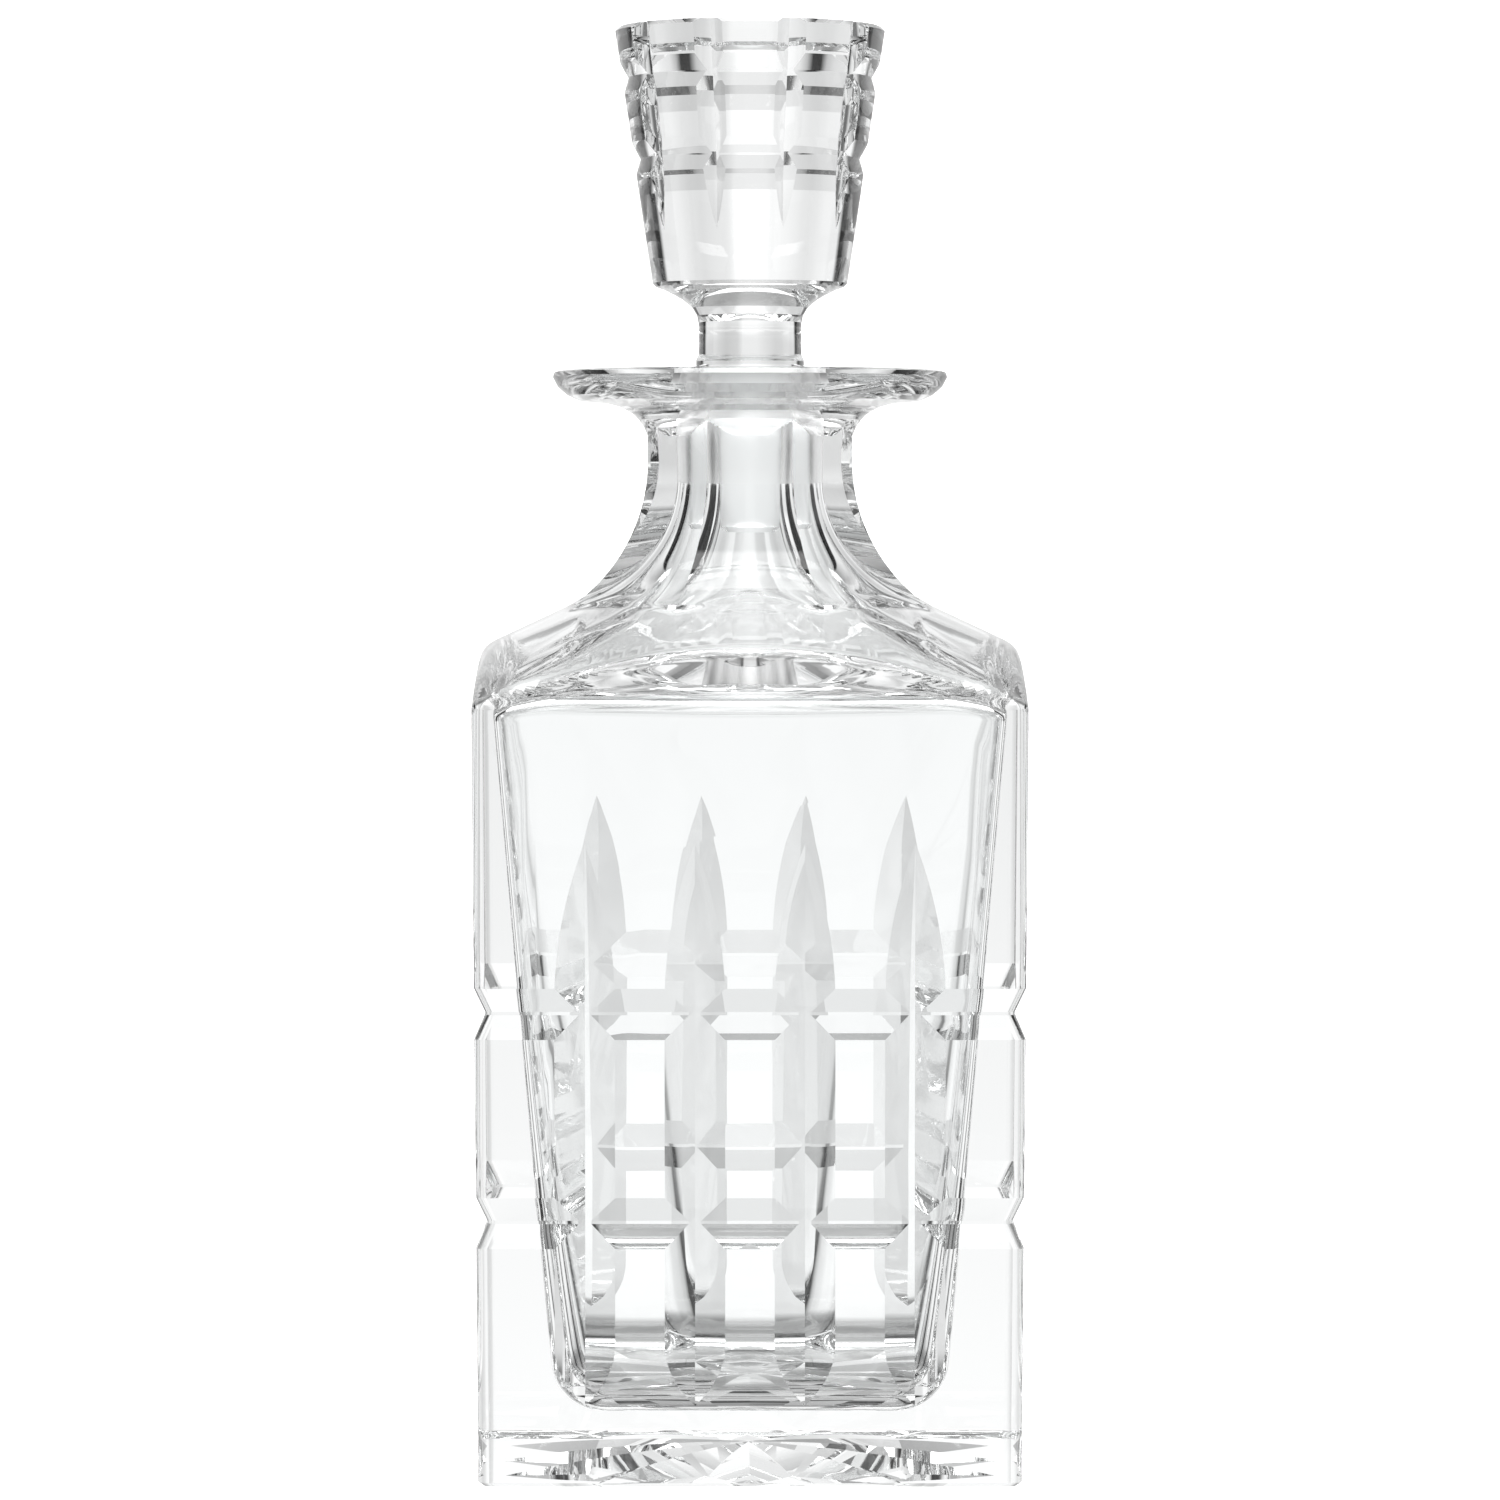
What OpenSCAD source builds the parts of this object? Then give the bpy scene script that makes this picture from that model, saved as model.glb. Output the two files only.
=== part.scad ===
// Square cut crystal decanter: a thick-walled vessel and its ground stopper.
// Units are millimetres. +Z is up, the origin is the centre of the base, -Y is the front.

/* [Vessel body] */
// Width of the body across its flat sides, under the shoulder
body_w = 101.6; // [98:0.1:104]
// Width of the body across its flat sides, at the base
base_w = 99.6; // [98:0.1:101]
// Leg of the bevel on each upright corner
corner_bevel = 2; // [1:0.5:3]
// Thickness of the solid glass floor
floor_t = 12; // [10:0.5:15]

/* [Shoulder and neck] */
// Height at which the shoulder cone meets the flat sides at their middle
shoulder_z = 153; // [151:0.1:154]
// Half width across the flats of the neck at its narrowest
neck_flat = 19.3; // [18.6:0.1:19.8]

/* [Lip and mouth] */
// Radius of the disc lip
lip_r = 37.5; // [36:0.1:40]
// Radius of the ground mouth at the lip
mouth_r = 9.5; // [9:0.1:9.7]
// Gap between the ground plug and the ground mouth
plug_gap = 0.06; // [0.03:0.01:0.09]

/* [Cuts] */
// Distance between neighbouring upright cuts
cut_pitch = 20.1; // [18:0.1:21]
// Depth of the upright cuts on the front and back
cut_depth = 2.4; // [2:0.1:2.6]
// Depth of the level cuts round the body
level_depth = 1.9; // [1.5:0.1:2]
// Number of upright cuts round the stopper head
head_cuts = 10; // [8:1:12]

/* [Stopper] */
// Overall height of the decanter, at the top of the stopper
total_h = 270; // [268:1:276]
// Radius of the stopper head at its top
head_top_r = 25.8; // [25:0.1:27]
// Radius of the stopper head at its flat underside
head_low_r = 18.5; // [18:0.1:20]

/* [Hidden] */
$fn = 96;
glass = [0.86, 0.89, 0.91];
polished = [0.93, 0.95, 0.96];

// Half of the opening angle of the cuts on the body: 11 wide where they are 2.4 deep
cut_half_angle = 66.5;
// Heights of the valleys of the two level cuts, and half of their narrow flat bottom
level_cuts = [48.5, 86.8];
valley_half = 0.3;
// Upright cuts: where each end fades out, and how far from there it is at full depth
cut_low_z = 15;
cut_low_run = 11;
cut_high_z = 118;
cut_high_run = 29;
// Wheel cuts start and end a little way off the glass
overrun = 1.08;

// Outside of the vessel above the flat sides
side_top_z = 139;
shoulder_rise = tan(25);
neck_z = 188;
neck_arc_r = 33.3;
neck_foot_z = 161;
neck_top_z = 195;
lip_z = 205.1;
base_edge = 0.8;

// Inside of the vessel: half its width at the floor, its wall's lean, its rounded floor edge
cavity_low = 36;
cavity_lean = 4.8;
cavity_edge_r = 9;
cavity_bevel = 6;
// Its four-sided roof, and the round flare that leads from the roof to the mouth
roof_z = 144.1;
roof_slope = 25;
roof_r = 30;
flare_arc_r = 33;
flare_slope = 14;
bore_low_z = 183;
bore_taper = 0.027;

// Star cut under the base: six cuts through the centre make twelve rays.
// Each entry is the direction of a cut and the reach of its two rays.
star_depth = 3.6;
star_half_angle = 74;
star_cuts = [[0, 46], [32, 53], [58, 53], [90, 46], [122, 53], [148, 53]];

// Stopper
head_low_z = 221.2;
ring_cuts = [245.2, 260.5];
ring_depth = 1.3;
ring_half = 3;
head_cut_depth = 1.9;
head_cut_half_angle = 58;
head_cut_end_z = 231;
head_cut_run = 21;
stem_r = 9.8;
bead_r = 10.3;
bead_low_z = 205.6;
plug_low_z = 172.5;

// Points of an arc round c, from angle a to angle b
function arc(c, r, a, b, n = 8) =
    [for (i = [0:n]) c + r * [cos(a + (b - a) * i / n), sin(a + (b - a) * i / n)]];

// The same points on the other side of the axis, in the opposite order
function mirrored(points) =
    [for (i = [len(points) - 1:-1:0]) [-points[i][0], points[i][1]]];

// Half width of the body, radius of the shoulder cone and radius of the mouth at height z
function body_half(z) = (base_w + (body_w - base_w) * min(z / side_top_z, 1)) / 2;
function shoulder_r(z) = body_w / 2 - (z - shoulder_z) / shoulder_rise;
function bore_r(z) = mouth_r - (lip_z - z) * bore_taper;

// Distance from the axis to a corner bevel on a square of this half width
function bevel_reach(half, bevel) = half * sqrt(2) - bevel / sqrt(2);

// One side of the body from the base up, with its two level cuts
function side_points() =
    let (level_half = valley_half + level_depth * tan(cut_half_angle))
    concat(
        [[body_half(0) - base_edge, 0], [body_half(0), base_edge]],
        [for (z = level_cuts, step = [[-level_half, 0], [-valley_half, level_depth],
                                      [valley_half, level_depth], [level_half, 0]])
            [body_half(z + step[0]) - step[1], z + step[0]]],
        [[body_w / 2, side_top_z], [body_w / 2, lip_z]]
    );

// Half width of the cavity at height z, before its floor edge is rounded
function cavity_half(z) = cavity_low + (z - floor_t) * tan(cavity_lean);

// One side of the cavity, from its floor up its wall and its sloping roof
function cavity_side() =
    let (z = floor_t + cavity_edge_r)
    concat(
        arc([cavity_half(z) - cavity_edge_r / cos(cavity_lean), z], cavity_edge_r, -90, -cavity_lean),
        [[cavity_half(roof_z), roof_z], [roof_r, roof_z + (cavity_half(roof_z) - roof_r) * tan(roof_slope)],
         [bore_r(bore_low_z), bore_low_z + 1]]
    );

// One corner of the cavity, over the same heights
function cavity_corner() = corner_points([for (z = [0, bore_low_z + 1]) [cavity_half(z), z]], cavity_bevel);

// The same side moved out to a corner, where an upright bevel with this leg cuts it off
function corner_points(points, leg) =
    [for (p = points) [p[0] * sqrt(2) - leg / sqrt(2), p[1]]];

// A solid with one outline on its four sides and another on its four corners
module four_sided(side, corner) {
    intersection_for(turn = [0, 45, 90, 135])
        rotate([90, 0, turn])
            linear_extrude(4 * body_w, center = true)
                polygon(turn % 90 == 0 ? concat(side, mirrored(side)) : concat(corner, mirrored(corner)));
}

// A V cut whose depth changes along it. It runs along Z on a face whose normal is -Y, and
// each point of its outline is [place along the cut, depth of the valley under the face].
module v_cut(outline, half_angle) {
    reach = 45;
    valley = [for (p = outline) [p[1] * sin(half_angle), p[0]]];
    far_side = [[-reach, outline[len(outline) - 1][0]], [-reach, outline[0][0]]];
    intersection_for(hand = [0, 1])
        mirror([hand, 0, 0])
            rotate([90, 0, half_angle])
                linear_extrude(2 * reach, center = true)
                    polygon(concat(valley, far_side));
}

// Depth of a wheel cut where it runs out: full at u = 0, and level with the face at u = 1
function run_out(depth, u) = depth * (1 - u * u);

// Valley of an upright cut on the body
function upright_outline(steps = 6) =
    concat(
        [for (i = [0:steps]) let (u = overrun * (1 - i / steps))
            [cut_low_z + cut_low_run * (1 - u), run_out(cut_depth, u)]],
        [for (i = [0:steps]) let (u = overrun * i / steps)
            [cut_high_z - cut_high_run * (1 - u), run_out(cut_depth, u)]]
    );

// Four upright cuts on the front and on the back, which lean in towards the base as the cuts do
module upright_cuts() {
    lean = [for (p = upright_outline()) [p[0], p[1] + body_w / 2 - body_half(p[0])]];
    for (side = [0:1], column = [-1.5:1.5])
        rotate([0, 0, 180 * side])
            translate([column * cut_pitch, -body_w / 2, 0])
                v_cut(lean, cut_half_angle);
}

// The star under the base
module star_cut(steps = 6) {
    for (cut = star_cuts)
        rotate([0, 0, cut[0]])
            rotate([90, 0, 0])
                v_cut([for (i = [-steps:steps]) let (u = overrun * i / steps)
                    [u * cut[1], run_out(star_depth, u)]], star_half_angle);
}

// The octagonal neck: its eight flats follow one arc that flares down to the shoulder
module neck() {
    flare = asin((neck_z - neck_foot_z) / neck_arc_r);
    foot = neck_flat + neck_arc_r * (1 - cos(flare));
    side = concat(
        [[foot, shoulder_z - 10]],
        arc([neck_flat + neck_arc_r, neck_z], neck_arc_r, 180 + flare, 180),
        [[neck_flat, neck_top_z]]
    );
    four_sided(side, side);
}

// The disc lip, from the ring above the neck's flats to its dished top
module lip() {
    rotate_extrude()
        polygon([
            [0, neck_z], [19.5, 192.8], [20.1, 194.3], [21.1, 195.8], [22.8, 197.3], [24.8, 198.3],
            [27.4, 199], [32.4, 199.4], [34.6, 200.4], [36.5, 202], [lip_r, 203.9],
            [lip_r - 0.3, lip_z - 0.3], [lip_r - 1.2, lip_z], [lip_r - 4, lip_z - 0.4],
            [mouth_r + 2, lip_z - 1.2], [0, lip_z - 1.2]
        ]);
}

// The cavity: four-sided in the body and its roof, round in the flare and the mouth
module cavity() {
    flare = arc([bore_r(bore_low_z) + flare_arc_r, bore_low_z], flare_arc_r, 180, 270 - flare_slope);
    foot = flare[len(flare) - 1];
    intersection() {
        four_sided(cavity_side(), cavity_corner());
        rotate_extrude()
            polygon(concat(
                [[0, bore_low_z]],
                flare,
                [[body_w, foot[1] - (body_w - foot[0]) * tan(flare_slope)], [body_w, 0], [0, 0]]
            ));
    }
    rotate_extrude()
        polygon([[0, bore_low_z - 5], [bore_r(bore_low_z - 5), bore_low_z - 5],
                 [bore_r(lip_z + 1), lip_z + 1], [0, lip_z + 1]]);
}

module vessel() {
    side = side_points();
    color(glass)
        difference() {
            union() {
                intersection() {
                    four_sided(side, corner_points(side, corner_bevel));
                    rotate_extrude()
                        polygon([[0, 0], [2 * body_w, 0], [shoulder_r(side_top_z - 10), side_top_z - 10],
                                 [shoulder_r(neck_foot_z + 2), neck_foot_z + 2], [0, neck_foot_z + 2]]);
                }
                neck();
                lip();
            }
            cavity();
            upright_cuts();
            star_cut();
        }
}

// Radius of the uncut stopper head at height z
function head_r(z) = head_low_r + (head_top_r - head_low_r) * (z - head_low_z) / (total_h - head_low_z);

// The turned shape of the stopper, from the end of its plug to the top of its head
module stopper_blank() {
    plug_r = bore_r(plug_low_z) - plug_gap;
    rotate_extrude()
        polygon(concat(
            [[0, plug_low_z], [plug_r - 1.2, plug_low_z], [plug_r, plug_low_z + 1.2]],
            [[bore_r(lip_z - 0.6) - plug_gap, lip_z - 0.6], [bead_r - 0.4, bead_low_z],
             [bead_r, bead_low_z + 0.6], [bead_r, bead_low_z + 1.6], [stem_r, bead_low_z + 2.6]],
            [[stem_r, 214], [10.1, 215.6], [11, 217.1], [12.8, 218.6], [14.4, 219.5],
             [16.2, head_low_z - 0.8], [head_low_r - 0.6, head_low_z - 0.2],
             [head_low_r, head_low_z + 0.5]],
            [for (z = ring_cuts, step = [[-ring_half, 0], [0, ring_depth], [ring_half, 0]])
                [head_r(z + step[0]) - step[1], z + step[0]]],
            [[head_r(total_h - 0.8), total_h - 0.8], [head_top_r - 0.9, total_h], [0, total_h]]
        ));
}

module stopper() {
    steps = 6;
    full_z = head_cut_end_z + head_cut_run;
    outline = concat(
        [for (i = [0:steps]) let (u = overrun * (1 - i / steps))
            [full_z - head_cut_run * u, run_out(head_cut_depth, u)]],
        [[total_h + 2, head_cut_depth]]
    );
    lean = [for (p = outline) [p[0], p[1] + head_top_r - head_r(p[0])]];
    color(polished)
        difference() {
            stopper_blank();
            for (i = [0:head_cuts - 1])
                rotate([0, 0, (i + 0.5) * 360 / head_cuts])
                    translate([0, -head_top_r, 0])
                        v_cut(lean, head_cut_half_angle);
        }
}

vessel();
stopper();
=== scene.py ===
"""Square cut crystal decanter: thick lead crystal vessel and its ground stopper."""

import math

import bmesh
import bpy
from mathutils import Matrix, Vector


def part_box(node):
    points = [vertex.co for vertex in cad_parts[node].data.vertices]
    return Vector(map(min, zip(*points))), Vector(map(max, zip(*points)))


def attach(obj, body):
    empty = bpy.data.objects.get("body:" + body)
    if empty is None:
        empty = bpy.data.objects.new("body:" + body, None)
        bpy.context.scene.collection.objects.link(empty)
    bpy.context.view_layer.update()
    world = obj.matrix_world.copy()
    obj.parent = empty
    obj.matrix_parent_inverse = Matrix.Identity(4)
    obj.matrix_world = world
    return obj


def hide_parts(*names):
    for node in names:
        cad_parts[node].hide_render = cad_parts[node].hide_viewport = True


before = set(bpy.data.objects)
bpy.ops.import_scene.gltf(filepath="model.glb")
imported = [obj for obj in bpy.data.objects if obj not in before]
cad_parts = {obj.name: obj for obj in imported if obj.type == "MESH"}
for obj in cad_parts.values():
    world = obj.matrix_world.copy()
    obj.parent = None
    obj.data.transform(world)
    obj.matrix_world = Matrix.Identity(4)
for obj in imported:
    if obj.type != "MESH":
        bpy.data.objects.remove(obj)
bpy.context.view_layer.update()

MM = 0.001

# ---------------------------------------------------------------- sizes, from the frame

VESSEL_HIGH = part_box("vessel")[1]
STOPPER_LOW, STOPPER_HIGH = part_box("stopper")
BODY_HALF = VESSEL_HIGH[0]
LIP_Z = VESSEL_HIGH[2]
TOP_Z = STOPPER_HIGH[2]
PLUG_LOW_Z = STOPPER_LOW[2]

# Body: the flat sides lean in a little towards the base
BASE_HALF = BODY_HALF - 1 * MM
SIDE_TOP_Z = 139 * MM
CORNER_R = 2.2 * MM
BASE_EDGE = 0.8 * MM

# Shoulder cone, eight-sided neck and disc lip
SHOULDER_Z = 153 * MM
SHOULDER_RISE = math.tan(math.radians(25))
NECK_FLAT = 19.3 * MM
NECK_Z = 188 * MM
NECK_ARC = 33.3 * MM
NECK_FOOT_Z = 161 * MM
NECK_TOP_Z = 195 * MM
SHOULDER_FOOT_Z = 141 * MM
SHOULDER_SOFT = 3 * MM
NECK_SOFT = 2 * MM
UNDER_LIP = [(r * MM, z * MM) for r, z in ((12, 190), (19.5, 192.8), (20.1, 194.3), (21.1, 195.8),
                                          (22.8, 197.3))]
LIP = [(r * MM, z * MM) for r, z in ((21.9, 196.6), (22.8, 197.3), (24.8, 198.3), (27.4, 199),
                                    (32.4, 199.4), (34.6, 200.4), (36.5, 202), (37.5, 203.9),
                                    (37.2, 204.8), (36.3, 205.1), (33.5, 204.7), (11.5, 203.9),
                                    (2, 203.9))]

# Cuts on the body
CUT_PITCH = 20.1 * MM
CUT_DEPTH, LEVEL_DEPTH = 2.4 * MM, 1.9 * MM
CUT_SLOPE = math.tan(math.radians(66.5))
LEVEL_CUTS = (48.5 * MM, 86.8 * MM)
VALLEY_HALF = 0.3 * MM
CUT_LOW_Z, CUT_LOW_RUN = 15 * MM, 11 * MM
CUT_HIGH_Z, CUT_HIGH_RUN = 118 * MM, 29 * MM
OVERRUN = 1.08

# Inside of the vessel
FLOOR_Z = 12 * MM
CAVITY_LOW = 36 * MM
CAVITY_LEAN = math.tan(math.radians(4.8))
CAVITY_EDGE = 9 * MM
CORNER_LOW_R, CORNER_HIGH_R = 9.5 * MM, 2.5 * MM
CAVITY_RIM_Z = 134 * MM
DOME_SOFT = 7 * MM
DOME_R, DOME_Z = 46.7 * MM, 144.1 * MM
# The roof is square at its rim, with corners of this share of its half width, and round above here
ROOF_CORNER = 0.25
DOME_ROUND_Z = 166 * MM
DOME_SLOPE = 25
DOME_ARC = 33 * MM
BORE_LOW_Z = 183 * MM
BORE_TAPER = 0.027
MOUTH_R = 9.5 * MM
PLUG_GAP = 0.06 * MM

# Star cut under the base
STAR_DEPTH = 3.6 * MM
STAR_SLOPE = math.tan(math.radians(74))
STAR_CUTS = ((0, 46), (32, 53), (58, 53), (90, 46), (122, 53), (148, 53))

# Stopper
HEAD_TOP_R, HEAD_LOW_R = 25.8 * MM, 18.5 * MM
HEAD_LOW_Z = 221.2 * MM
RING_CUTS = (245.2 * MM, 260.5 * MM)
RING_DEPTH, RING_HALF = 1.3 * MM, 3 * MM
HEAD_CUTS = 10
HEAD_CUT_DEPTH = 1.9 * MM
HEAD_CUT_SLOPE = math.tan(math.radians(58))
HEAD_CUT_END_Z, HEAD_CUT_RUN = 231 * MM, 21 * MM

# Bead, stem and underside of the head, and the small bevels on the plug and the head
STEM = [(r * MM, z * MM) for r, z in ((9.9, 205.6), (10.3, 206.2), (10.3, 207.2), (9.8, 208.2),
                                     (9.8, 214), (10.1, 215.6), (11, 217.1), (12.8, 218.6),
                                     (14.4, 219.5), (16.2, 220.4), (17.9, 221), (18.5, 221.7))]
PLUG_BEVEL = 1.2 * MM
PLUG_TOP_Z = LIP_Z - 0.6 * MM
HEAD_BEVEL = 0.8 * MM

# How finely round shapes are drawn
TURN_STEPS = 192
RUN_STEPS = 18
# Edges turned by more than this stay sharp
SHARP_DEGREES = 11


def body_half(z):
    """Half width of the body across its flat sides at height z."""
    return BASE_HALF + (BODY_HALF - BASE_HALF) * min(z / SIDE_TOP_Z, 1)


def cavity_half(z):
    """Half width of the cavity at height z, before its floor edge is rounded."""
    return CAVITY_LOW + (z - FLOOR_Z) * CAVITY_LEAN


def bore_r(z):
    """Radius of the ground mouth at height z."""
    return MOUTH_R - (LIP_Z - z) * BORE_TAPER


def shoulder_r(z):
    """Radius of the shoulder cone at height z."""
    return BODY_HALF - (z - SHOULDER_Z) / SHOULDER_RISE


def head_r(z):
    """Radius of the stopper head at height z, before its cuts."""
    return HEAD_LOW_R + (HEAD_TOP_R - HEAD_LOW_R) * (z - HEAD_LOW_Z) / (TOP_Z - HEAD_LOW_Z)


def arc(centre, radius, start, end, steps):
    """Points of an arc in the plane of an outline, angles in degrees."""
    turns = [math.radians(start + (end - start) * i / steps) for i in range(steps + 1)]
    return [(centre[0] + radius * math.cos(t), centre[1] + radius * math.sin(t)) for t in turns]


# ---------------------------------------------------------------- modelling helpers

def ready():
    """Leaves every object unselected, so that an operator acts on the new one only."""
    if bpy.context.object and bpy.context.object.mode != "OBJECT":
        bpy.ops.object.mode_set(mode="OBJECT")
    bpy.ops.object.select_all(action="DESELECT")


def place(piece, points):
    """Puts the selected vertices, in order, on these points."""
    bm = bmesh.from_edit_mesh(piece.data)
    chosen = [v for v in bm.verts if v.select]
    for vertex, point in zip(chosen, points):
        vertex.co = point
    bmesh.update_edit_mesh(piece.data)


def loft(name, rings):
    """A closed solid through rings of points: a disc is extruded from each ring to the next."""
    ready()
    bpy.ops.mesh.primitive_circle_add(vertices=len(rings[0]), fill_type="NGON")
    piece = bpy.context.object
    piece.name = name
    bpy.ops.object.mode_set(mode="EDIT")
    bpy.ops.mesh.select_all(action="SELECT")
    place(piece, rings[0])
    for ring in rings[1:]:
        bpy.ops.mesh.extrude_region_move()
        place(piece, ring)
    bpy.ops.mesh.select_all(action="SELECT")
    bpy.ops.mesh.normals_make_consistent(inside=False)
    bpy.ops.object.mode_set(mode="OBJECT")
    return piece


def turned(name, profile, steps=TURN_STEPS):
    """A solid of revolution from (radius, height) pairs, lowest first."""
    turns = [2 * math.pi * (i + 0.5) / steps for i in range(steps)]
    return loft(name, [[(r * math.cos(t), r * math.sin(t), z) for t in turns] for r, z in profile])


def combine(piece, other, how):
    """Joins, cuts or trims a solid with another one, which is used up."""
    ready()
    bpy.context.view_layer.objects.active = piece
    piece.select_set(True)
    step = piece.modifiers.new("solid", "BOOLEAN")
    step.operation = how
    step.solver = "MANIFOLD"
    step.object = other
    bpy.ops.object.modifier_apply(modifier=step.name)
    bpy.data.objects.remove(other, do_unlink=True)


def cutter(name, valley, slope, face, out=4 * MM):
    """A V-edged wheel's path on a face at y = -face: valley is (height, depth) pairs."""
    rings = []
    for z, depth in valley:
        wide = slope * (depth + out)
        rings.append([(0, depth - face, z), (wide, -face - out, z), (-wide, -face - out, z)])
    return loft(name, rings)


def spin_about_z(piece, degrees):
    """Turns a finished solid about the axis and leaves its object unturned."""
    ready()
    piece.select_set(True)
    bpy.context.view_layer.objects.active = piece
    piece.rotation_euler = (0, 0, math.radians(degrees))
    bpy.ops.object.transform_apply(location=False, rotation=True, scale=False)


def run_out(depth, u):
    """Depth of a wheel cut as the wheel leaves the glass: full at u = 0, nothing at u = 1."""
    return depth * (1 - u * u)


def along(points, z):
    """Radius at height z on a line of (radius, height) points."""
    for (r0, z0), (r1, z1) in zip(points, points[1:]):
        if z0 <= z <= z1:
            return r0 + (r1 - r0) * (z - z0) / (z1 - z0)
    return points[-1][0]


def soft_min(a, b, blend):
    """The smaller of two radii, with the edge between their surfaces rounded off."""
    overlap = max(blend - abs(a - b), 0) / blend
    return min(a, b) - overlap * overlap * blend / 4


def soft_max(a, b, blend):
    """The larger of two radii, with a fillet where their surfaces meet."""
    return -soft_min(-a, -b, blend)


def spaced(low, high, step):
    """Evenly spaced heights from low to high."""
    count = max(1, round((high - low) / step))
    return [low + (high - low) * i / count for i in range(count + 1)]


def ringed(name, levels, reach, turns):
    """A solid through level rings: reach(turn, level) is the radius in each direction."""
    return loft(name, [[(reach(t, level) * math.cos(t), reach(t, level) * math.sin(t), level[0])
                        for t in turns] for level in levels])


def folded(turn, folds):
    """A direction folded to within half a side of the middle of its own side."""
    side = 2 * math.pi / folds
    return (turn + side / 2) % side - side / 2


# ---------------------------------------------------------------- vessel

def body_turns():
    """Directions round the body, with one on every edge of its neck and more on its corners."""
    corner = math.atan((BODY_HALF - CORNER_R) / BODY_HALF)
    edges = [0, math.pi / 8, corner, math.pi / 2 - corner, math.pi * 3 / 8, math.pi / 2]
    steps = [12, 14, 12, 14, 12]
    quarter = []
    for low, high, count in zip(edges, edges[1:], steps):
        quarter += [low + (high - low) * i / count for i in range(count)]
    return [side * math.pi / 2 + t for side in range(4) for t in quarter]


def round_square_reach(turn, half, radius):
    """Distance to the outline of a square with rounded corners."""
    off_side = abs(folded(turn, 4))
    centre = half - radius
    if half * math.tan(off_side) <= centre:
        return half / math.cos(off_side)
    reach = centre * (math.cos(off_side) + math.sin(off_side))
    return reach + math.sqrt(max(reach * reach - 2 * centre * centre + radius * radius, 0))


def neck_half(z):
    """Half width of the neck across its flats at height z."""
    if z >= NECK_Z:
        return NECK_FLAT
    up = NECK_Z - max(z, NECK_FOOT_Z)
    return NECK_FLAT + NECK_ARC - math.sqrt(NECK_ARC * NECK_ARC - up * up)


def outside_reach(turn, level):
    """Distance from the axis to the outside of the vessel; a level is (height, depth of cut)."""
    z, depth = level
    if z > NECK_TOP_Z + 1 * MM:
        return depth
    body = round_square_reach(turn, body_half(z) - depth, CORNER_R)
    if z < SHOULDER_FOOT_Z:
        return body
    body = soft_min(body, shoulder_r(z), SHOULDER_SOFT)
    neck = neck_half(z) / math.cos(folded(turn, 8))
    if z < SHOULDER_Z + 3 * MM:
        return body
    return max(soft_max(body, neck, NECK_SOFT), along(UNDER_LIP, z) if z >= UNDER_LIP[0][1] else 0)


def outside_levels():
    """Heights of the rings of the outside, with the depth of the level cuts or the lip's radius."""
    half = VALLEY_HALF + LEVEL_DEPTH * CUT_SLOPE
    steps = ((-half, 0), (-VALLEY_HALF, LEVEL_DEPTH), (VALLEY_HALF, LEVEL_DEPTH), (half, 0))
    levels = [(0, BASE_EDGE), (BASE_EDGE, 0)]
    levels += [(z + up, depth) for z in LEVEL_CUTS for up, depth in steps]
    heights = ([SIDE_TOP_Z] + spaced(SHOULDER_FOOT_Z, SHOULDER_Z + 3 * MM, 0.3 * MM)[:-1]
               + spaced(SHOULDER_Z + 3 * MM, NECK_FOOT_Z + 4 * MM, 0.4 * MM)[:-1]
               + spaced(NECK_FOOT_Z + 4 * MM, NECK_Z, 0.8 * MM)[:-1]
               + spaced(NECK_Z, NECK_TOP_Z + 1 * MM, 0.2 * MM))
    levels += [(z, 0) for z in heights]
    return levels + [(z, r) for r, z in LIP]


def make_body():
    """The outside of the vessel: square body, shoulder, eight-sided neck and lip, then its cuts."""
    body = ringed("crystal_vessel", outside_levels(), outside_reach, body_turns())

    low = [(CUT_LOW_Z + CUT_LOW_RUN * (1 - u), run_out(CUT_DEPTH, u))
           for u in (OVERRUN * (1 - i / RUN_STEPS) for i in range(RUN_STEPS + 1))]
    high = [(CUT_HIGH_Z - CUT_HIGH_RUN * (1 - u), run_out(CUT_DEPTH, u))
            for u in (OVERRUN * i / RUN_STEPS for i in range(RUN_STEPS + 1))]
    valley = [(z, depth + BODY_HALF - body_half(z)) for z, depth in low + high]
    for side_turn in (0, 180):
        for column in (-1.5, -0.5, 0.5, 1.5):
            wheel = cutter("wheel", valley, CUT_SLOPE, BODY_HALF)
            for vertex in wheel.data.vertices:
                vertex.co.x += column * CUT_PITCH
            spin_about_z(wheel, side_turn)
            combine(body, wheel, "DIFFERENCE")

    for turn, reach in STAR_CUTS:
        steps = [OVERRUN * i / RUN_STEPS for i in range(-RUN_STEPS, RUN_STEPS + 1)]
        ray = cutter("ray", [(u * reach * MM, run_out(STAR_DEPTH, u)) for u in steps], STAR_SLOPE, 0)
        # Laid flat, so that it runs along Y and cuts up into the base
        for vertex in ray.data.vertices:
            x, y, z = vertex.co
            vertex.co = (x, -z, y)
        spin_about_z(ray, turn)
        combine(body, ray, "DIFFERENCE")
    return body


def cavity_turns(steps=60):
    """Directions round the cavity, close together at its four corners."""
    quarter = [2 * i / steps - 1 for i in range(steps)]
    eased = [0.15 * t + 0.85 * t ** 3 for t in quarter]
    return [(math.pi / 4) * (2 * side + 1 + t) for side in range(4) for t in eased]


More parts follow.
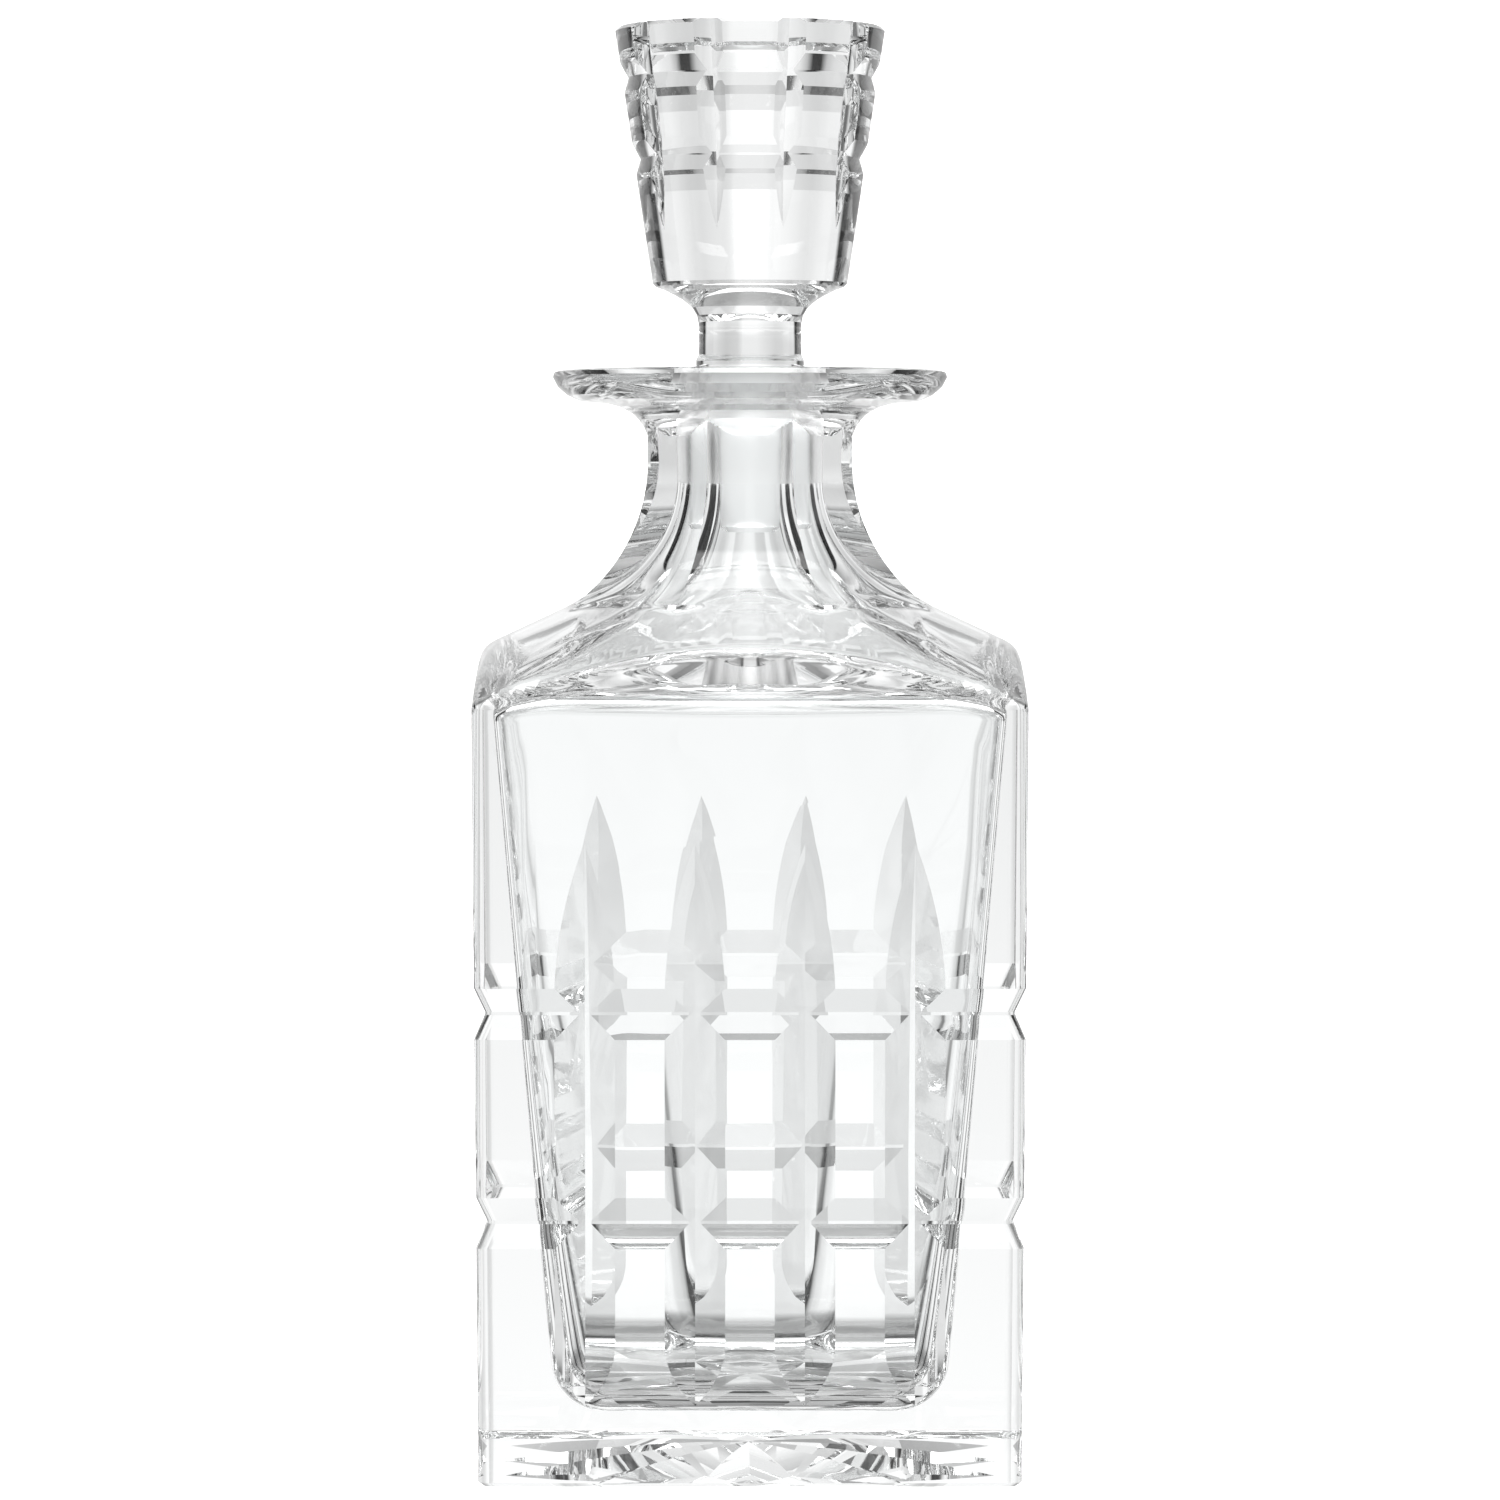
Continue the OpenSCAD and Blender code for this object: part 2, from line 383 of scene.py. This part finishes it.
def dome_profile():
    """Radius and height of the dome over the cavity, from its rim up to the ground mouth."""
    bend = arc((bore_r(BORE_LOW_Z) + DOME_ARC, BORE_LOW_Z), DOME_ARC, 270 - DOME_SLOPE, 180, 40)
    rim = 3 * DOME_R
    rise = math.tan(math.radians(DOME_SLOPE))
    return [(rim, DOME_Z - (rim - DOME_R) * rise), (DOME_R, DOME_Z)] + bend


DOME = dome_profile()


def cavity_levels():
    """Heights of the rings of the cavity, each with how far its floor edge draws it in."""
    low = []
    for z_in, z in ((1 - math.cos(t), 1 - math.sin(t)) for t in
                    (math.radians(90 - 85 * i / 14) for i in range(15))):
        low.append((FLOOR_Z + CAVITY_EDGE * z, CAVITY_EDGE * z_in))
    heights = (spaced(FLOOR_Z + 12 * MM, CAVITY_RIM_Z, 4 * MM)[:-1]
               + spaced(CAVITY_RIM_Z, DOME_Z + 4 * MM, 0.3 * MM)[:-1]
               + spaced(DOME_Z + 4 * MM, BORE_LOW_Z, 0.5 * MM)
               + [LIP_Z + 1 * MM])
    return low + [(z, 0) for z in heights]


def cavity_reach(turn, level):
    """Distance from the axis to the cavity's wall, dome or ground mouth."""
    z, inset = level
    if z >= BORE_LOW_Z:
        return bore_r(z)
    height = min(max((z - FLOOR_Z) / (DOME_Z - FLOOR_Z), 0), 1)
    radius = CORNER_HIGH_R + (CORNER_LOW_R - CORNER_HIGH_R) * (1 - height) ** 4
    wall = round_square_reach(turn, cavity_half(z) - inset, max(radius - inset, 0.6 * MM))
    if z < CAVITY_RIM_Z:
        return wall
    square = min(max((DOME_ROUND_Z - z) / (DOME_ROUND_Z - DOME_Z), 0), 1)
    four_sided = round_square_reach(turn, 1, ROOF_CORNER) - 1
    roof = along(DOME, z) * (1 + four_sided * square * square * (3 - 2 * square))
    return soft_min(wall, roof, DOME_SOFT)


def make_vessel():
    """The cut body with its cavity, roof and ground mouth taken out."""
    vessel = make_body()
    combine(vessel, ringed("cavity", cavity_levels(), cavity_reach, cavity_turns()), "DIFFERENCE")
    return vessel


# ---------------------------------------------------------------- stopper

def make_stopper():
    """The cut head, stem and ground plug, turned as one and then cut."""
    plug_r = bore_r(PLUG_LOW_Z) - PLUG_GAP
    plug = [(plug_r - PLUG_BEVEL, PLUG_LOW_Z), (plug_r, PLUG_LOW_Z + PLUG_BEVEL),
            (bore_r(PLUG_TOP_Z) - PLUG_GAP, PLUG_TOP_Z)]
    rings = [(head_r(z + up) - depth, z + up) for z in RING_CUTS
             for up, depth in ((-RING_HALF, 0), (0, RING_DEPTH), (RING_HALF, 0))]
    top = [(head_r(TOP_Z - HEAD_BEVEL), TOP_Z - HEAD_BEVEL), (HEAD_TOP_R - 0.9 * MM, TOP_Z)]
    stopper = turned("crystal_stopper", plug + STEM + rings + top)

    full_z = HEAD_CUT_END_Z + HEAD_CUT_RUN
    low = [(full_z - HEAD_CUT_RUN * u, run_out(HEAD_CUT_DEPTH, u))
           for u in (OVERRUN * (1 - i / RUN_STEPS) for i in range(RUN_STEPS + 1))]
    cut = low + [(TOP_Z + 2 * MM, HEAD_CUT_DEPTH)]
    valley = [(z, depth + HEAD_TOP_R - head_r(z)) for z, depth in cut]
    for i in range(HEAD_CUTS):
        wheel = cutter("wheel", valley, HEAD_CUT_SLOPE, HEAD_TOP_R)
        spin_about_z(wheel, (i + 0.5) * 360 / HEAD_CUTS)
        combine(stopper, wheel, "DIFFERENCE")
    return stopper


# ---------------------------------------------------------------- finishing

def finish_edges(piece):
    """Joins doubled points, takes out flat edges and keeps every cut edge sharp."""
    ready()
    piece.select_set(True)
    bpy.context.view_layer.objects.active = piece
    bpy.ops.object.mode_set(mode="EDIT")
    bpy.ops.mesh.select_all(action="SELECT")
    bpy.ops.mesh.remove_doubles(threshold=0.001 * MM)
    bpy.ops.mesh.dissolve_limited(angle_limit=math.radians(0.05))
    bpy.ops.object.mode_set(mode="OBJECT")
    bpy.ops.object.shade_smooth_by_angle(angle=math.radians(SHARP_DEGREES))


# ---------------------------------------------------------------- materials

def linear(hex_colour):
    """An sRGB hex colour as linear RGBA."""
    values = [int(hex_colour[i:i + 2], 16) / 255 for i in (1, 3, 5)]
    return [v / 12.92 if v <= 0.04045 else ((v + 0.055) / 1.055) ** 2.4 for v in values] + [1]


def add(tree, kind, settings=None, **links):
    """Adds a node with its settings, and links its inputs, named with _ for a space."""
    node = tree.nodes.new(kind)
    for key, value in (settings or {}).items():
        if isinstance(key, str) and hasattr(node, key):
            setattr(node, key, value)
        else:
            node.inputs[key].default_value = value
    for key, source in links.items():
        name = key.replace("_", " ")
        tree.links.new(source, node.inputs[int(name[1:])] if name[1:].isdigit() else node.inputs[name])
    return node


def ramp(node, stops):
    """Gives a colour ramp its stops: pairs of place and grey value."""
    steps = node.color_ramp.elements
    while len(steps) < len(stops):
        steps.new(1)
    for step, (place_along, grey) in zip(steps, stops):
        step.position = place_along
        step.color = (grey, grey, grey, 1)


def blank_material(name):
    """A new material and its empty node tree."""
    material = bpy.data.materials.new(name)
    material.use_nodes = True
    material.node_tree.nodes.clear()
    return material, material.node_tree


GLASS_BEND = 1.545


def lead_crystal():
    """Polished 24 % lead crystal: water clear, strongly bending, edges bright and dark."""
    material, tree = blank_material("lead crystal")
    shader = add(tree, "ShaderNodeBsdfPrincipled", {
        "Base Color": linear("#fdfefe"), "Roughness": 0.0, "IOR": GLASS_BEND,
        "Transmission Weight": 1.0})
    out = add(tree, "ShaderNodeOutputMaterial")
    tree.links.new(shader.outputs[0], out.inputs[0])
    return material


# Size of the grain of the ground finish
GRAIN = MM / 6


def ground_glass():
    """Fine ground finish of the plug and the mouth: an even frosted grey, without a sparkle."""
    material, tree = blank_material("ground glass")
    where = add(tree, "ShaderNodeTexCoord")
    grain = add(tree, "ShaderNodeTexNoise", {"Scale": 1 / GRAIN, "Detail": 3.0},
                Vector=where.outputs["Object"])
    height = add(tree, "ShaderNodeBump", {"Strength": 0.25, "Distance": 0.05 * MM},
                 Height=grain.outputs["Fac"])
    shader = add(tree, "ShaderNodeBsdfPrincipled", {
        "Base Color": linear("#fbfcfc"), "Roughness": 0.28, "IOR": GLASS_BEND,
        "Transmission Weight": 1.0}, Normal=height.outputs["Normal"])
    out = add(tree, "ShaderNodeOutputMaterial")
    tree.links.new(shader.outputs[0], out.inputs[0])
    return material


def ground_faces(piece, chosen):
    """Gives the ground finish to the faces whose middle and normal are chosen."""
    for face in piece.data.polygons:
        if chosen(face.center, face.normal):
            face.material_index = 1


def white_paper():
    """Matt white studio paper, evenly lit, so that it reads as plain white everywhere."""
    material, tree = blank_material("white studio paper")
    shader = add(tree, "ShaderNodeBsdfPrincipled", {
        "Base Color": linear("#f2f2f2"), "Roughness": 0.9, "Specular IOR Level": 0.0,
        "Emission Color": linear("#ffffff"), "Emission Strength": 0.55})
    out = add(tree, "ShaderNodeOutputMaterial")
    tree.links.new(shader.outputs[0], out.inputs[0])
    material.cycles.emission_sampling = "NONE"
    return material


# ---------------------------------------------------------------- studio

FLOOR_R, SWEEP_R = 3.0, 1.0
FLOOR_DROP = 0.2 * MM
DARK, DIM = 0.02, 0.18
# Brightness of the screens by compass direction in degrees, +X at 0 and +Y at 90
SCREENS = ((-180, 0.95), (-172, 0.9), (-166, DIM), (-109, DIM), (-106, 0.7), (-74, 0.7),
           (-71, DIM), (-14, DIM), (-8, 0.9), (0, 0.95), (8, 0.9),
           (11, DARK), (37, DARK), (41, 0.9), (60, 0.85), (70, 0.7), (80, 0.78), (84.5, 1.0),
           (97, 1.0), (103, 0.9), (112, 0.78), (139, 0.95), (143, DARK), (169, DARK))
# The same, lower down, over one eighth of a turn: pairs of share of the eighth and brightness
LOW_SCREENS = ((0.05, DARK), (0.11, 0.55), (0.2, 0.74), (0.34, 0.82), (0.42, 1.0), (0.68, 1.0),
               (0.74, 0.9), (0.86, 0.78), (0.92, 0.5), (0.97, DARK))

# Brightness by height: pairs of place and brightness, 0 straight down, 0.5 level and 1 straight up
HEIGHTS = ((0, 0.6), (0.13, 0.4), (0.2, 0.25), (0.235, 0.4), (0.275, 0.95), (0.4, 1),
           (0.44, 0.91), (0.49, 0.81), (0.54, 0.79), (0.59, 1), (0.7, 0.95), (0.79, 0.7),
           (0.87, 0.45))
# Sines of the heights between which the low screens give way to the upper ones, and the lamp's edge
SCREEN_FOOT, SCREEN_TOP = -0.26, -0.13
LAMP_EDGE, LAMP_FULL, LAMP_POWER = 0.86, 0.9, 3.0
STUDIO_POWER = 1.1


def make_floor():
    """A wide white paper sweep: flat under the decanter, curving up far away."""
    curve = [(FLOOR_R + x, -FLOOR_DROP + SWEEP_R + z) for x, z in arc((0, 0), SWEEP_R, -90, 0, 24)]
    outline = [(0.01, -FLOOR_DROP)] + curve + [(FLOOR_R + SWEEP_R, 3 * SWEEP_R)]
    floor = turned("floor", outline, 96)
    ready()
    bpy.context.view_layer.objects.active = floor
    bpy.ops.object.mode_set(mode="EDIT")
    bpy.ops.mesh.select_all(action="DESELECT")
    bm = bmesh.from_edit_mesh(floor.data)
    for face in bm.faces:
        face.select = face.calc_center_median().z > 3 * SWEEP_R - FLOOR_DROP
    bmesh.update_edit_mesh(floor.data)
    bpy.ops.mesh.delete(type="FACE")
    bpy.ops.mesh.select_all(action="SELECT")
    bpy.ops.mesh.flip_normals()
    bpy.ops.object.mode_set(mode="OBJECT")
    bpy.ops.object.shade_smooth()
    floor.data.materials.append(white_paper())
    floor.visible_transmission = False
    floor.visible_glossy = False
    floor.visible_shadow = False


def make_world():
    """Lit cloth screens round the table with dark gaps between them, and a lamp overhead."""
    world = bpy.data.worlds.new("studio")
    bpy.context.scene.world = world
    world.use_nodes = True
    tree = world.node_tree
    tree.nodes.clear()
    where = add(tree, "ShaderNodeTexCoord")
    split = add(tree, "ShaderNodeSeparateXYZ", Vector=where.outputs["Generated"])
    turn = add(tree, "ShaderNodeMath", {"operation": "ARCTAN2"},
               _0=split.outputs["Y"], _1=split.outputs["X"])

    whole = add(tree, "ShaderNodeMath", {"operation": "MULTIPLY_ADD", 1: 0.5 / math.pi, 2: 0.5},
                _0=turn.outputs[0])
    screens = add(tree, "ShaderNodeValToRGB", Fac=whole.outputs[0])
    ramp(screens, [((degrees + 180) / 360, grey) for degrees, grey in SCREENS])

    eighth = add(tree, "ShaderNodeMath", {"operation": "MULTIPLY_ADD", 1: 4 / math.pi, 2: 8.5},
                 _0=turn.outputs[0])
    across = add(tree, "ShaderNodeMath", {"operation": "FRACT"}, _0=eighth.outputs[0])
    low_screens = add(tree, "ShaderNodeValToRGB", Fac=across.outputs[0])
    ramp(low_screens, LOW_SCREENS)

    level = add(tree, "ShaderNodeMapRange", {
        "interpolation_type": "SMOOTHSTEP", "From Min": SCREEN_FOOT, "From Max": SCREEN_TOP},
        Value=split.outputs["Z"])
    round_about = add(tree, "ShaderNodeMix", {"data_type": "RGBA"})
    tree.links.new(level.outputs[0], round_about.inputs[0])
    tree.links.new(low_screens.outputs[0], round_about.inputs[6])
    tree.links.new(screens.outputs[0], round_about.inputs[7])

    rise = add(tree, "ShaderNodeMapRange", {"From Min": -1.0, "From Max": 1.0},
               Value=split.outputs["Z"])
    height = add(tree, "ShaderNodeValToRGB", Fac=rise.outputs[0])
    ramp(height, HEIGHTS)
    band = add(tree, "ShaderNodeVectorMath", {"operation": "MULTIPLY"})
    tree.links.new(round_about.outputs[2], band.inputs[0])
    tree.links.new(height.outputs[0], band.inputs[1])
    lamp = add(tree, "ShaderNodeMapRange", {
        "interpolation_type": "SMOOTHSTEP", "From Min": LAMP_EDGE, "From Max": LAMP_FULL,
        "To Min": 0.0, "To Max": LAMP_POWER}, Value=split.outputs["Z"])
    total = add(tree, "ShaderNodeVectorMath", {"operation": "ADD"})
    tree.links.new(band.outputs[0], total.inputs[0])
    tree.links.new(lamp.outputs[0], total.inputs[1])
    back = add(tree, "ShaderNodeBackground", Color=total.outputs[0])
    back.inputs["Strength"].default_value = STUDIO_POWER
    out = add(tree, "ShaderNodeOutputWorld")
    tree.links.new(back.outputs[0], out.inputs[0])


def make_camera():
    """A long lens a little above the shoulder, aimed at the middle of the decanter."""
    data = bpy.data.cameras.new("camera")
    camera = bpy.data.objects.new("camera", data)
    bpy.context.scene.collection.objects.link(camera)
    data.sensor_width = 36
    data.lens = 141.24
    camera.location = (0, -1.12, 0.177)
    aim = Vector((0, 0, 0.13305)) - camera.location
    camera.rotation_euler = aim.to_track_quat("-Z", "Y").to_euler()
    bpy.context.scene.camera = camera


# ---------------------------------------------------------------- the decanter

make_camera()
crystal = lead_crystal()
ground = ground_glass()

vessel = make_vessel()
finish_edges(vessel)
vessel.data.materials.clear()
vessel.data.materials.append(crystal)
vessel.data.materials.append(ground)
ground_faces(vessel, lambda c, n: c.z > BORE_LOW_Z and c.xy.length < MOUTH_R and abs(n.z) < 0.3)
vessel.visible_shadow = False
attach(vessel, "decanter_body")
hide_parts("vessel")

stopper = make_stopper()
finish_edges(stopper)
stopper.data.materials.clear()
stopper.data.materials.append(crystal)
stopper.data.materials.append(ground)
ground_faces(stopper, lambda c, n: c.z < LIP_Z - 1 * MM and abs(n.z) < 0.3)
stopper.visible_shadow = False
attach(stopper, "stopper_body")
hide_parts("stopper")

make_floor()
make_world()

scene = bpy.context.scene
scene.view_settings.view_transform = "Standard"
scene.cycles.max_bounces = 32
scene.cycles.transmission_bounces = 32
scene.cycles.glossy_bounces = 32
